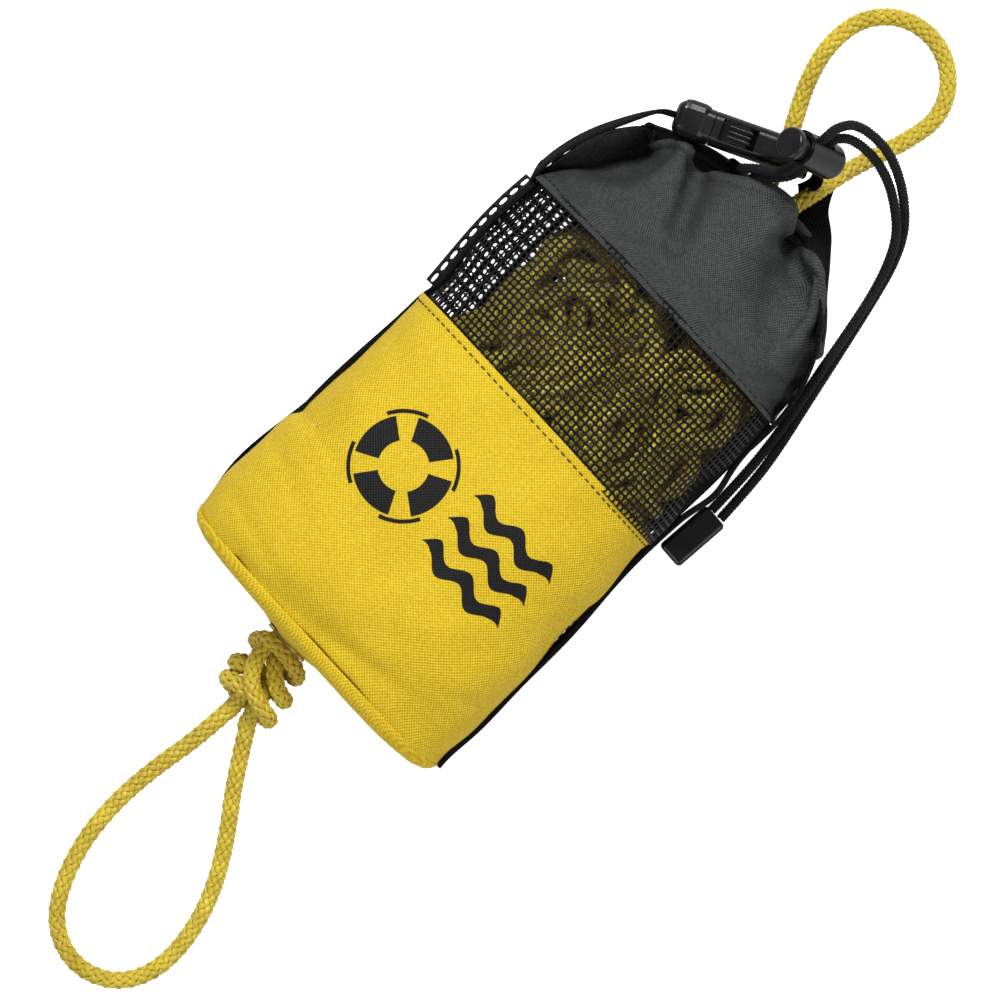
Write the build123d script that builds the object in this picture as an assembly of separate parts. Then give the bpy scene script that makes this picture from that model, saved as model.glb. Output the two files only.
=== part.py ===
"""A compact rescue throw bag lying on its back, with its rope stuffed inside.

Millimetres. +Y runs from the bag's bottom to its mouth, +X is the bag's right side, +Z is up from the
surface that the back rests on. The origin is on that surface, under the middle of the bag without its
free cords. Soft parts are plain closed solids of their real size and place.
"""
import math
import os

from build123d import *

# ---------------------------------------------------------------- driving dimensions
ROPE_D = 6.35            # quarter-inch floating rope
DRAWCORD_D = 3.7         # braided drawcord
CLOTH = 1.2              # thickness given to cloth, mesh and hems
BINDING = 1.5            # how far the side binding stands out from the cloth
BINDING_H = 8.0          # height of the binding tape
WEB_W = 20.0             # webbing of the bail strap
WEB_T = 1.6
GAP = 0.3                # clearance between neighbours on different bodies

# Stations along the bag: y, left edge, right edge, top, seam height, how far the underside would
# sink without the floor, and the turn of the section about +Z in degrees.
STATIONS = [
    (-119.0, -41, 45, 44, 27, -10, -3.5),
    (-116.0, -51, 54, 53, 29, -3, -3.5),
    (-109.0, -57.5, 58.5, 62, 31, 0.8, -3.5),
    (-94.0, -60, 59.5, 68, 33, 1.5, -3.0),
    (-70.0, -58.5, 59.5, 71, 34, 1.5, -2.5),
    (-40.0, -55, 59, 71, 34, 1.5, -2.5),
    (-5.0, -54, 58, 68, 33, 1.5, -2.5),
    (25.0, -56, 59, 62, 31, 1.5, -2.0),
    (49.0, -55, 58, 55, 29, 1.5, -1.0),
    (66.0, -51, 55, 48, 27, 1.3, 0.0),
    (79.0, -43, 49.5, 43, 25, 1.1, 0.0),
    (87.0, -36, 43, 41, 24, 1.0, 0.0),
    (93.0, -28.5, 35.5, 39, 23, 0.9, 0.0),
    (98.0, -19, 30, 38, 21.5, 0.7, 0.0),
    (104.0, -9, 22, 36, 20, 0.4, 0.0),
]
BOTTOM_Y = STATIONS[0][0]
MOUTH_Y = STATIONS[-1][0]
HEM_Y = 97.0             # lower edge of the drawcord hem
BOTTOM_SEAM_Y = -113.0   # where the bottom panel meets the front, at mid width
WINDOW_Y = (-8.0, 47.5)  # lower and upper edge of the mesh window, at mid width
WINDOW_TILT = (-2.8, -1.8)  # tilt of those two edges about +Z
SECTION_POINTS = 20
ROUNDNESS = (2.35, 2.9)  # superellipse powers of a section's upper and lower half

# The rope: it leaves through the eyelet in the bottom and through the mouth.
EYELET = Vector(-5.5, -118.6, 23.0)      # on the outer face of the bottom panel
FLOAT_Y = (-114.0, -98.0)
STUFFED_Y = (-95.5, 46.0)

# Bottom loop, from the knot round and back to it.
BOTTOM_LOOP = [
    (-3.4, -146.4, 17.5), (-4.4, -163, 13.5), (-7.6, -180, 8.4), (-9.2, -197, 4.6), (-8.0, -215, 3.2),
    (-2.2, -232.6, 3.2), (6.5, -243.8, 3.2), (19.8, -248.0, 3.2), (33.0, -243.2, 3.2),
    (40.4, -231.6, 3.2), (41.0, -216, 3.2), (36.4, -198.5, 3.4), (26.5, -181, 6.0),
    (14.0, -164.5, 11.5), (3.5, -146.4, 17.5),
]
# Top loop, from the knot inside the mouth, under the buckle, round, and back over the strap.
TOP_LOOP = [
    (3.0, 81.0, 17.5), (3.4, 92, 14.5), (2.4, 104.5, 10.2), (-1.8, 117, 6.6), (-8.6, 129.5, 4.2),
    (-14.2, 141.5, 3.2), (-16.9, 154.0, 3.2), (-14.8, 167.6, 3.2), (-5.3, 177.5, 3.2),
    (8.4, 179.9, 3.2), (20.9, 173.8, 3.2), (27.5, 161.5, 3.2), (25.0, 148, 4.8), (20.8, 136, 10.0),
    (17.2, 124, 19.8), (15.2, 112.8, 23.0), (12.4, 102, 22.4), (10.4, 91.5, 20.8), (9.6, 81.0, 18.0),
]

# Cord lock: its middle, its axis from the closed end of the barrel to the cap, and the cords' way.
LOCK = Vector(5.6, 119.8, 51.0)
LOCK_AXIS = Vector(-0.598, -0.269, 0.755).normalized()
CORD_WAY = Vector(0.05, 0.928, 0.3702).normalized()
STRAND_GAP = 3.9         # between the two strands' centres inside the lock
LOCK_R = 6.2
LOCK_BORE_R = 4.7
LOCK_RISE = 7.5          # from the cords' middle to the barrel's open end
LOCK_PRESS = 4.0         # travel of the plunger
LOCK_BEFORE = 9.0        # straight run of each cord before the lock's middle
LOCK_AFTER = (12.0, 8.5)  # and after it

# Strands, from the gap in the hem to the lock, and from the lock to the cord end.
STRAND_START = [
    [(-8.4, 100.4, 33.2), (-4.6, 103.8, 40.8), (1.0, 106.8, 46.0)],
    [(-3.4, 100.6, 34.8), (-0.2, 104.4, 39.2), (4.2, 107.8, 43.4)],
]
STRAND_FREE = [
    [(8.4, 137.6, 54.5), (15.6, 141.8, 45.6), (23.8, 142.0, 34.6), (32.2, 139.6, 25.0),
     (40.6, 135.2, 16.6), (48.2, 127.6, 10.0), (53.2, 117.0, 5.4), (55.8, 104.0, 2.6),
     (58.0, 89.0, 2.0), (60.5, 74.0, 2.0), (63.5, 59.5, 2.0), (66.7, 45.0, 2.0), (69.0, 30.0, 2.3),
     (69.6, 12.9, 3.6)],
    [(10.8, 132.6, 51.2), (17.0, 135.6, 42.6), (24.2, 136.2, 32.6), (31.8, 134.2, 24.6),
     (38.8, 130.0, 18.0), (45.2, 123.4, 12.6), (50.2, 114.0, 8.8), (53.2, 102.2, 6.0),
     (55.6, 87.6, 5.4), (58.0, 72.8, 5.4), (60.9, 58.4, 5.4), (63.4, 43.6, 4.4), (65.0, 28.6, 3.4),
     (65.4, 12.9, 3.6)],
]
CORD_END_TOP = Vector(67.7, 12.5, 3.6)
CORD_END_WAY = Vector(-0.08, -0.9968, 0.0).normalized()
CORD_END_SIZE = (10.0, 21.0, 6.6)

# Side-release buckle, standing on edge: its rear end, the way from plug to socket, and its sizes.
BUCKLE_REAR = Vector(-36.6, 98.2, 26.0)
BUCKLE_TURN = 25.0
BUCKLE_W = 25.0
BUCKLE_T = 11.0
PLUG_BASE = 13.0
BUCKLE_LENGTH = 48.0
PRONG_REACH = 33.0
WINDOW_X = (16.0, 28.5)

# Bail strap, in plan: the left half, and the right half, whose middle lies flat under the rope.
STRAP_Z = 26.0
STRAP_LEFT = [
    (-57.9, 42.0), (-57.4, 57.0), (-53.6, 71.0), (-48.0, 83.6), (-42.8, 93.2), (-38.6, 97.27),
    (-32.1, 100.3),
]
STRAP_RIGHT_START = [(0.6, 115.5), (6.2, 118.1), (10.4, 120.06)]
STRAP_TURN = [(8.6, 110.5), (22.0, 105.8), (33.0, 101.6), (36.0, 104.4), (26.0, 113.0), (13.0, 118.6), (9.0, 120.6)]
STRAP_TURN_Z = 15.4
STRAP_RIGHT = [
    (31.0, 105.4), (36.4, 101.4), (41.8, 96.2), (49.6, 87.6), (56.4, 75.0), (60.0, 58.0), (61.0, 42.0),
]

os.makedirs("parts", exist_ok=True)


def save(name, shape):
    """Writes one named piece."""
    shape.label = name
    export_step(shape, f"parts/{name}.step")


def box_between(low, high):
    """A box from its lowest to its highest corner."""
    size = [b - a for a, b in zip(low, high)]
    middle = [(a + b) / 2 for a, b in zip(low, high)]
    return Pos(*middle) * Box(*size)


# ---------------------------------------------------------------- the bag's outer form
def section(station, grow=0.0, shift=0.0):
    """The closed outline of the bag at one station, grown outwards, shifted along the bag."""
    y, left, right, top, seam, under, turn = station
    middle, half = (left + right) / 2, (right - left) / 2 + grow
    above, below = top - seam + grow, seam + under + grow
    points = []
    for i in range(SECTION_POINTS):
        angle = 2 * math.pi * i / SECTION_POINTS
        upper = math.sin(angle) >= 0
        power = ROUNDNESS[0] if upper else ROUNDNESS[1]
        across = math.copysign(abs(math.cos(angle)) ** (2 / power), math.cos(angle)) * half
        rise = math.copysign(abs(math.sin(angle)) ** (2 / power), math.sin(angle))
        height = seam + rise * (above if upper else below)
        points.append(
            Vector(
                middle + across * math.cos(math.radians(turn)),
                y + shift + across * math.sin(math.radians(turn)),
                height,
            )
        )
    return Face(Wire(Edge.make_spline(points, periodic=True)))


def bag_form(grow, low_shift=0.0, high_shift=0.0):
    """The whole bag as one solid, standing on the floor, grown and lengthened at its ends."""
    faces = []
    for i, station in enumerate(STATIONS):
        shift = low_shift if i == 0 else high_shift if i == len(STATIONS) - 1 else 0.0
        faces.append(section(station, grow, shift))
    return loft(Sketch() + faces) & box_between((-100, -200, -grow), (100, 200, 120))


def band(low, high, tilts=(0.0, 0.0)):
    """The slab of space between two stations, each edge tilted about +Z at the bag's middle."""
    far = 160.0
    run = [math.tan(math.radians(t)) * far for t in tilts]
    corners = [(-far, low - run[0]), (far, low + run[0]), (far, high + run[1]), (-far, high - run[1])]
    return extrude(make_face(Polyline(*corners, close=True)), 140).moved(Pos(0, 0, -20))


def seam_slab(below, above):
    """The space from below to above the side seams' height, all along the bag."""
    low = [(s[0], s[4] + below) for s in STATIONS]
    high = [(s[0], s[4] + above) for s in STATIONS]
    low = [(-200, low[0][1])] + low + [(200, low[-1][1])]
    high = [(-200, high[0][1])] + high + [(200, high[-1][1])]
    outline = Polyline(*[(0, y, z) for y, z in low + high[::-1]], close=True)
    return extrude(make_face(outline), 100, dir=(1, 0, 0), both=True)


outer = bag_form(0.0)
inner = bag_form(-CLOTH, low_shift=CLOTH, high_shift=2.0)
skin = outer - inner
upper_half = seam_slab(0, 200)
lower_half = seam_slab(-200, 0)

end_tilt = -3.4
bottom_panel = skin & band(BOTTOM_Y - 20, BOTTOM_SEAM_Y, (0, end_tilt))
front = skin & upper_half
front_panel = front & band(BOTTOM_SEAM_Y, WINDOW_Y[0], (end_tilt, WINDOW_TILT[0]))
mesh_window = front & band(*WINDOW_Y, WINDOW_TILT)
collar_front = front & band(WINDOW_Y[1], HEM_Y, (WINDOW_TILT[1], 0))
back = skin & lower_half
back_panel = back & band(BOTTOM_SEAM_Y, WINDOW_Y[1], (end_tilt, WINDOW_TILT[1]))
collar_back = back & band(WINDOW_Y[1], HEM_Y, (WINDOW_TILT[1], 0))

# ---------------------------------------------------------------- hem and the drawcord inside it
HEM_DEPTH = 5.2          # a folded hem is this thick, so that the cord runs free inside
hem_ring = (bag_form(0.0) - bag_form(-HEM_DEPTH, high_shift=4.0)) & band(HEM_Y, MOUTH_Y)


def hem_path(steps=12):
    """The closed line in the middle of the hem, as straight runs joined by arcs."""
    share = (HEM_Y + 3.4 - STATIONS[-2][0]) / (MOUTH_Y - STATIONS[-2][0])
    left, right, top, seam, under = (
        a + (b - a) * share for a, b in zip(STATIONS[-2][1:6], STATIONS[-1][1:6])
    )
    inset = HEM_DEPTH / 2
    half_wide, half_tall = (right - left) / 2 - inset, (top + under) / 2 - inset
    middle = Vector((left + right) / 2, HEM_Y + 3.4, (top - under) / 2)
    points = []
    for i in range(steps):
        angle = 2 * math.pi * (i + 0.5) / steps
        points.append(
            middle + Vector(half_wide * math.cos(angle), 0, half_tall * math.sin(angle))
        )
    return FilletPolyline(*points, radius=8.0, close=True)


def tube(path, diameter):
    """A round tube along a path."""
    return sweep(Plane(path @ 0, z_dir=path % 0) * Circle(diameter / 2), path=path)


hem_line = hem_path()
hem_ring -= tube(hem_line, DRAWCORD_D + 0.2)
hem_gap = Pos(-5.6, HEM_Y + 3.4, 33) * Box(9.8, 4.4, 14.0)
hem_front = (hem_ring & upper_half) - hem_gap
hem_back = hem_ring & lower_half
drawcord_in_hem = tube(hem_line, DRAWCORD_D - 0.2) - hem_gap

# ---------------------------------------------------------------- side bindings
binding_ring = (bag_form(BINDING, low_shift=-BINDING) - outer) & seam_slab(-BINDING_H / 2, BINDING_H / 2)
binding_ring &= band(BOTTOM_SEAM_Y - 3, WINDOW_Y[1] - 8)
binding_left = binding_ring & box_between((-100, -200, 0), (0, 200, 100))
binding_right = binding_ring & box_between((0, -200, 0), (100, 200, 100))

# ---------------------------------------------------------------- inside the bag
through = Pos(EYELET.X, EYELET.Y, EYELET.Z) * Rot(-90, 0, 0) * Cylinder(ROPE_D / 2 + 0.4, 60)
cavity = bag_form(-CLOTH - GAP, low_shift=CLOTH + GAP)
foam_float = (cavity & band(*FLOAT_Y, (end_tilt, end_tilt))) - through
float_divider = (cavity & band(FLOAT_Y[1] + GAP, FLOAT_Y[1] + GAP + CLOTH, (end_tilt, end_tilt))) - through
rope_stuffed = bag_form(-CLOTH - 0.6) & band(*STUFFED_Y, (end_tilt, -1.8))


def disc(radius, start, end):
    """A disc square to the bottom panel, from start to end inside the panel's outer face."""
    face = Plane(EYELET, x_dir=(0, 0, 1), z_dir=Vector(0, 1, 0).rotate(Axis.Z, end_tilt))
    return face.location * Pos(0, 0, (start + end) / 2) * Cylinder(radius, end - start)


def ring(outer_r, inner_r, start, end):
    """A disc with a hole for the rope."""
    return disc(outer_r, start, end) - disc(inner_r, start - 1, end + 1)


EYELET_BORE_R = ROPE_D / 2 + 0.5
EYELET_WALL = 0.8
EYELET_R = 8.5
bottom_panel -= disc(EYELET_BORE_R + EYELET_WALL, -6, 6)
bottom_panel -= disc(EYELET_R, -4, 0)
bottom_eyelet = ring(EYELET_R, EYELET_BORE_R, -0.9, 0)
bottom_eyelet += ring(EYELET_BORE_R + EYELET_WALL, EYELET_BORE_R, 0, 2.8)
eyelet_washer = ring(EYELET_R, EYELET_BORE_R + EYELET_WALL, 1.6, 2.4)

# ---------------------------------------------------------------- the rope
def cord_path(points):
    """Straight runs joined by arcs as large as the runs allow, with the arcs' radii."""
    corners = [Vector(*p) for p in points]
    radii = []
    for a, b, c in zip(corners, corners[1:], corners[2:]):
        half_turn = math.radians((b - a).get_angle(c - b) / 2)
        radii.append(0.45 * min((b - a).length, (c - b).length) / math.tan(half_turn))
    return FilletPolyline(*corners, radius=radii), radii


def free_cord(name, points, diameter):
    """A free cord's tube; prints its length, its arcs' radii and how full its volume is."""
    path, radii = cord_path(points)
    solid = tube(path, diameter)
    filled = solid.volume / (path.length * math.pi * diameter**2 / 4)
    arcs = " ".join(f"{r:.0f}" for r in radii)
    print(f"{name}: length {path.length:.1f}, volume ratio {filled:.4f}, radii {arcs}")
    return solid


def knot(low, high, round_by):
    """The rounded block that a pulled-tight knot fills."""
    block = box_between(low, high)
    return fillet(block.edges(), round_by)


rope_bottom_loop = free_cord("bottom loop", BOTTOM_LOOP, ROPE_D)
rope_top_loop = free_cord("top loop", TOP_LOOP, ROPE_D)
bottom_knot_low, bottom_knot_high = (-13.6, -145.5, 8.0), (8.0, -120.6, 28.0)
rope_bottom_knot = knot(bottom_knot_low, bottom_knot_high, 8.5)
rope_top_knot = knot((-5.0, 54.0, 9.0), (18.0, 79.5, 27.0), 8.0)
through_reach = (bottom_knot_high[1], STUFFED_Y[0] - 0.4)
rope_through_float = (
    Pos(EYELET.X, sum(through_reach) / 2, EYELET.Z)
    * Rot(-90, 0, 0)
    * Cylinder(ROPE_D / 2, through_reach[1] - through_reach[0])
)

# ---------------------------------------------------------------- cord lock
lock_plane = Plane(LOCK, x_dir=CORD_WAY, z_dir=LOCK_AXIS)
strand_slot = (16.0, DRAWCORD_D + 0.8, DRAWCORD_D + STRAND_GAP + 0.8)


def slot(extra_up=0.0):
    """The way of the two strands across the lock, longer towards the cap by extra_up."""
    across, wide, tall = strand_slot
    return Pos(0, 0, extra_up / 2) * Box(across, wide, tall + extra_up)


slot_low = -strand_slot[2] / 2
plunger_low = slot_low - 1.2
bore_low = plunger_low - LOCK_PRESS - 1.4
barrel_low = bore_low - 1.6
barrel = Pos(0, 0, (barrel_low + LOCK_RISE) / 2) * Cylinder(LOCK_R, LOCK_RISE - barrel_low)
barrel = fillet(barrel.edges().sort_by(Axis.Z)[0], 3.6)
barrel -= Pos(0, 0, bore_low + 15) * Cylinder(LOCK_BORE_R, 30)
barrel -= slot()
stem_top = LOCK_RISE + LOCK_PRESS + 0.2
stem = Pos(0, 0, (plunger_low + stem_top) / 2) * Cylinder(LOCK_BORE_R - GAP, stem_top - plunger_low)
cap = Pos(0, 0, stem_top + 1.3) * Cylinder(LOCK_R - 0.6, 2.6)
cap = fillet(cap.edges().sort_by(Axis.Z)[-1], 1.1)
plunger = stem + cap - slot(LOCK_PRESS)
wire = 0.7
spring_height = plunger_low - bore_low - wire - 0.1
coil = Helix(pitch=spring_height / 3.5, height=spring_height, radius=LOCK_BORE_R - 1.2)
spring = sweep(Plane(coil @ 0, z_dir=coil % 0) * Circle(wire / 2), path=coil)
spring = Pos(0, 0, bore_low + wire / 2 + 0.05) * spring
cord_lock_barrel = lock_plane.location * barrel
cord_lock_plunger = lock_plane.location * plunger
cord_lock_spring = lock_plane.location * spring

# ---------------------------------------------------------------- the drawcord's free strands
strands = []
for number, (start, free) in enumerate(zip(STRAND_START, STRAND_FREE)):
    side = STRAND_GAP / 2 * (1 if number == 0 else -1)
    middle = LOCK + LOCK_AXIS * side
    before, after = middle - CORD_WAY * LOCK_BEFORE, middle + CORD_WAY * LOCK_AFTER[number]
    route = start + [tuple(before), tuple(after)] + free
    strands.append(free_cord(f"strand {number}", route, DRAWCORD_D))

# ---------------------------------------------------------------- cord end
end_plane = Plane(CORD_END_TOP, x_dir=CORD_END_WAY.cross(Vector(0, 0, 1)), z_dir=CORD_END_WAY)
end_wide, end_long, end_thick = CORD_END_SIZE
end_body = Pos(0, 0, end_long / 2) * Box(end_wide, end_thick, end_long)
end_body = fillet(end_body.edges(), 1.6)
clamp_room = Pos(0, 0, end_long / 2 + 3) * Box(end_wide - 2.6, end_thick - 2.6, end_long)
end_body -= clamp_room
end_body -= Box(2 * DRAWCORD_D + 0.8, DRAWCORD_D + 0.2, 12)
end_clamp = Pos(0, 0, (3 + end_long) / 2 + 1) * Box(end_wide - 2.8, end_thick - 2.8, end_long - 5)
cord_end_body = end_plane.location * end_body
cord_end_clamp = end_plane.location * end_clamp

# ---------------------------------------------------------------- side-release buckle
turn = math.radians(BUCKLE_TURN)
buckle_way = Vector(math.cos(turn), math.sin(turn), 0)
buckle_plane = Plane(BUCKLE_REAR, x_dir=buckle_way, z_dir=Vector(math.sin(turn), -math.cos(turn), 0))
SOCKET_LOW = PLUG_BASE + 0.4
CAVITY_END = PRONG_REACH + 2.0
CAVITY_W = BUCKLE_W - 3.6
CAVITY_T = BUCKLE_T - 3.6
ARM_ROOT = Vector(PLUG_BASE + 0.4, 7.0)
ARM_T = 2.4
BAR_SLOT = (4.6, WEB_W + 1.0)
WEB_ROOM = WEB_T + 1.2   # slit at each end, through which the webbing reaches its bar


def rounded_bar(low_x, high_x, wide, thick, round_by):
    """A bar along the buckle with rounded long edges."""
    bar = Pos((low_x + high_x) / 2, 0, 0) * Box(high_x - low_x, wide, thick)
    return fillet(bar.edges().filter_by(Axis.X), round_by)


socket = rounded_bar(SOCKET_LOW, BUCKLE_LENGTH, BUCKLE_W, BUCKLE_T, 3.2)
socket -= box_between((SOCKET_LOW - 1, -CAVITY_W / 2, -CAVITY_T / 2), (CAVITY_END, CAVITY_W / 2, CAVITY_T / 2))
socket -= box_between((WINDOW_X[0], -20, -CAVITY_T / 2), (WINDOW_X[1], 20, CAVITY_T / 2))
bar_middle = BUCKLE_LENGTH - 6.6
socket -= Pos(bar_middle, 0, 0) * Box(BAR_SLOT[0], BAR_SLOT[1], 30)
socket -= box_between((bar_middle, -BAR_SLOT[1] / 2, -WEB_ROOM / 2), (60, BAR_SLOT[1] / 2, WEB_ROOM / 2))
plug = rounded_bar(0, PLUG_BASE, BUCKLE_W, BUCKLE_T, 3.2)
plug = fillet(plug.edges().filter_by(Axis.Y).group_by(Axis.X)[0], 3.0)
plug -= Pos(5.4, 0, 0) * Box(3.4, BAR_SLOT[1], 30)
plug -= box_between((-5, -BAR_SLOT[1] / 2, -WEB_ROOM / 2), (5.4, BAR_SLOT[1] / 2, WEB_ROOM / 2))
plug += box_between((PLUG_BASE - 1, -2.2, -2.2), (PRONG_REACH, 2.2, 2.2))


def snap_arm(side):
    """One flexing arm: a leaf from the plug's base and the thumb tab that fills the side window."""
    half = CAVITY_T / 2 - GAP
    outline = Polyline(
        (ARM_ROOT.X, ARM_ROOT.Y - ARM_T / 2), (ARM_ROOT.X, ARM_ROOT.Y + ARM_T / 2),
        (WINDOW_X[0] + GAP, CAVITY_W / 2 - 1.0), (WINDOW_X[0] + GAP, BUCKLE_W / 2 - 1.4),
        (WINDOW_X[0] + 3.0, BUCKLE_W / 2 - 0.2), (WINDOW_X[1] - 3.0, BUCKLE_W / 2 - 0.4),
        (WINDOW_X[1] - GAP, CAVITY_W / 2 - 1.2), (PRONG_REACH, CAVITY_W / 2 - 3.4),
        (PRONG_REACH, CAVITY_W / 2 - 5.2), (WINDOW_X[1] - 1.0, CAVITY_W / 2 - 3.4),
        (WINDOW_X[0] + 2.0, CAVITY_W / 2 - 3.4), close=True,
    )
    arm = extrude(make_face(outline), half, both=True)
    return arm if side > 0 else mirror(arm, about=Plane.XZ)


buckle_socket = buckle_plane.location * socket
buckle_plug = buckle_plane.location * plug
snap_arms = {name: buckle_plane.location * snap_arm(side) for name, side in (("upper", 1), ("lower", -1))}

# ---------------------------------------------------------------- bail strap
def upright_web(points):
    """A run of webbing standing on edge, along its plan."""
    line = [Vector(*p) for p in points]
    left, right = [], []
    for i, point in enumerate(line):
        before = (line[i] - line[i - 1]).normalized() if i else (line[1] - line[0]).normalized()
        after = (line[i + 1] - line[i]).normalized() if i + 1 < len(line) else before
        middle = (before + after).normalized()
        across = Vector(-middle.Y, middle.X) * (WEB_T / 2 / middle.dot(after))
        left.append(point + across)
        right.append(point - across)
    outline = make_face(Polyline(*left, *right[::-1], close=True))
    return extrude(outline, WEB_W).moved(Pos(0, 0, STRAP_Z - WEB_W / 2))


strap_left = upright_web(STRAP_LEFT)
strap_turn = extrude(make_face(Polyline(*STRAP_TURN, close=True)), WEB_T).moved(Pos(0, 0, STRAP_TURN_Z))
strap_right = upright_web(STRAP_RIGHT_START) + strap_turn + upright_web(STRAP_RIGHT)

# ---------------------------------------------------------------- the named pieces
PIECES = {
    "front_panel": front_panel,
    "bottom_panel": bottom_panel,
    "mesh_window": mesh_window,
    "back_panel": back_panel,
    "collar_front": collar_front,
    "collar_back": collar_back,
    "hem_front": hem_front,
    "hem_back": hem_back,
    "binding_left": binding_left,
    "binding_right": binding_right,
    "foam_float": foam_float,
    "float_divider": float_divider,
    "bottom_eyelet": bottom_eyelet,
    "eyelet_washer": eyelet_washer,
    "rope_stuffed": rope_stuffed,
    "rope_through_float": rope_through_float,
    "rope_bottom_knot": rope_bottom_knot,
    "rope_bottom_loop": rope_bottom_loop,
    "rope_top_knot": rope_top_knot,
    "rope_top_loop": rope_top_loop,
    "drawcord_in_hem": drawcord_in_hem,
    "drawcord_strand_a": strands[0],
    "drawcord_strand_b": strands[1],
    "cord_end_body": cord_end_body,
    "cord_end_clamp": cord_end_clamp,
    "cord_lock_barrel": cord_lock_barrel,
    "cord_lock_plunger": cord_lock_plunger,
    "cord_lock_spring": cord_lock_spring,
    "buckle_socket": buckle_socket,
    "buckle_plug": buckle_plug,
    "snap_arm_upper": snap_arms["upper"],
    "snap_arm_lower": snap_arms["lower"],
    "strap_left": strap_left,
    "strap_right": strap_right,
}
for name, shape in PIECES.items():
    save(name, shape)
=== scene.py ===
"""A compact rescue throw bag on its back: cloth, mesh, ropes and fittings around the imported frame."""
import math

import bpy
import numpy as np
from mathutils import Matrix, Vector
from mathutils.bvhtree import BVHTree


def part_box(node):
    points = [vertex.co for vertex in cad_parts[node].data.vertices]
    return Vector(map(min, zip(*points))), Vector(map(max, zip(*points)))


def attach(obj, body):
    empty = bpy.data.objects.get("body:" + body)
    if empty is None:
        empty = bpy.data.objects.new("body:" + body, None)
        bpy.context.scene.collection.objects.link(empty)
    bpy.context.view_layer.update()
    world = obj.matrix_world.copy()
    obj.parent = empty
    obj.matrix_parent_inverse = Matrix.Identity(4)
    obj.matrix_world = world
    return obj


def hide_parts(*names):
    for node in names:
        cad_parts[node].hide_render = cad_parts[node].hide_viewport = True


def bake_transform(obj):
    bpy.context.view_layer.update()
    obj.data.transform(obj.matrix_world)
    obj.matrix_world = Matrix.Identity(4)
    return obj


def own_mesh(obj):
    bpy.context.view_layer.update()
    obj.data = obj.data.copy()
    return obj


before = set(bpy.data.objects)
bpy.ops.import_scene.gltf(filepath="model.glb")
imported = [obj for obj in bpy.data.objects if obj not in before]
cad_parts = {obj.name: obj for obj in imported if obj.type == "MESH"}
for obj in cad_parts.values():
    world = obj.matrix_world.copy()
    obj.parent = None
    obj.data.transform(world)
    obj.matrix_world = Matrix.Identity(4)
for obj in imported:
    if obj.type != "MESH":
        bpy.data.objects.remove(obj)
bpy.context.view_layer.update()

MM = 0.001
ROPE_D = 6.35
DRAWCORD_D = 3.7
ROPE_LAY = 24.0          # length of one full turn of a strand round the rope
CORD_LAY = 13.0
YELLOW_THICK = 0.7
GREY_THICK = 0.8
BRAID_STEP = 0.5
HALF_WIDTH = 58          # of the bag, for cuts across it
CLOTH_HALF = 72          # of the front cloth, laid flat
COLLAR_DEPTH = 56
EYELET = (-5.5, -118.5, 23.0)
EYELET_R = 5.0
rng = np.random.default_rng(7)


# ---- camera, floor and light
VIEW_WIDTH = 335.0       # what the picture's width covers, in mm
VIEW_MIDDLE = (12.0, -34.8, 25.0)
VIEW_DISTANCE = 2400.0
VIEW_RIGHT = Vector((0.713, 0.701, 0.0)).normalized()
SENSOR = 36.0


def make_camera():
    """Looks straight down through a long lens, with the bag lying across the picture."""
    data = bpy.data.cameras.new("camera")
    data.sensor_width = SENSOR
    data.lens = SENSOR * VIEW_DISTANCE / VIEW_WIDTH
    data.clip_end = 10
    camera = bpy.data.objects.new("camera", data)
    back = Vector((0, 0, 1))
    up = back.cross(VIEW_RIGHT)
    turn = Matrix((VIEW_RIGHT, up, back)).transposed().to_4x4()
    place = Vector(VIEW_MIDDLE) * MM + back * VIEW_DISTANCE * MM
    camera.matrix_world = Matrix.Translation(place) @ turn
    bpy.context.scene.collection.objects.link(camera)
    bpy.context.scene.camera = camera


def make_light(name, place, size, power):
    """A large soft lamp aimed at the bag's middle."""
    data = bpy.data.lights.new(name, "AREA")
    data.shape = "DISK"
    data.size = size
    data.energy = power
    lamp = bpy.data.objects.new(name, data)
    lamp.location = place
    lamp.rotation_euler = (Vector((0, 0, 0.02)) - Vector(place)).to_track_quat("-Z", "Y").to_euler()
    bpy.context.scene.collection.objects.link(lamp)


def make_stage():
    """A white floor that keeps bright under the bag, as on a light table, and soft lamps."""
    bpy.ops.mesh.primitive_plane_add(size=8, location=(0, 0, -0.0002))
    floor = bpy.context.object
    floor.name = "floor"
    paper = bpy.data.materials.new("floor_white")
    paper.use_nodes = True
    shader = paper.node_tree.nodes["Principled BSDF"]
    shader.inputs["Base Color"].default_value = (0.8, 0.8, 0.8, 1)
    shader.inputs["Roughness"].default_value = 0.9
    shader.inputs["Emission Color"].default_value = (1, 1, 1, 1)
    seen = paper.node_tree.nodes.new("ShaderNodeLightPath")
    paper.node_tree.links.new(seen.outputs["Is Camera Ray"], shader.inputs["Emission Strength"])
    floor.data.materials.append(paper)
    world = bpy.data.worlds.new("world")
    world.use_nodes = True
    world.node_tree.nodes["Background"].inputs["Color"].default_value = (1, 1, 1, 1)
    world.node_tree.nodes["Background"].inputs["Strength"].default_value = 0.2
    bpy.context.scene.world = world
    make_light("key", (-0.8, 0.9, 1.5), 0.5, 30)
    make_light("fill", (1.2, 0.2, 1.2), 0.9, 8)
    make_light("front", (0.1, -1.3, 1.1), 0.9, 8)
    bpy.context.scene.view_settings.view_transform = "Standard"


make_camera()
make_stage()


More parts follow.
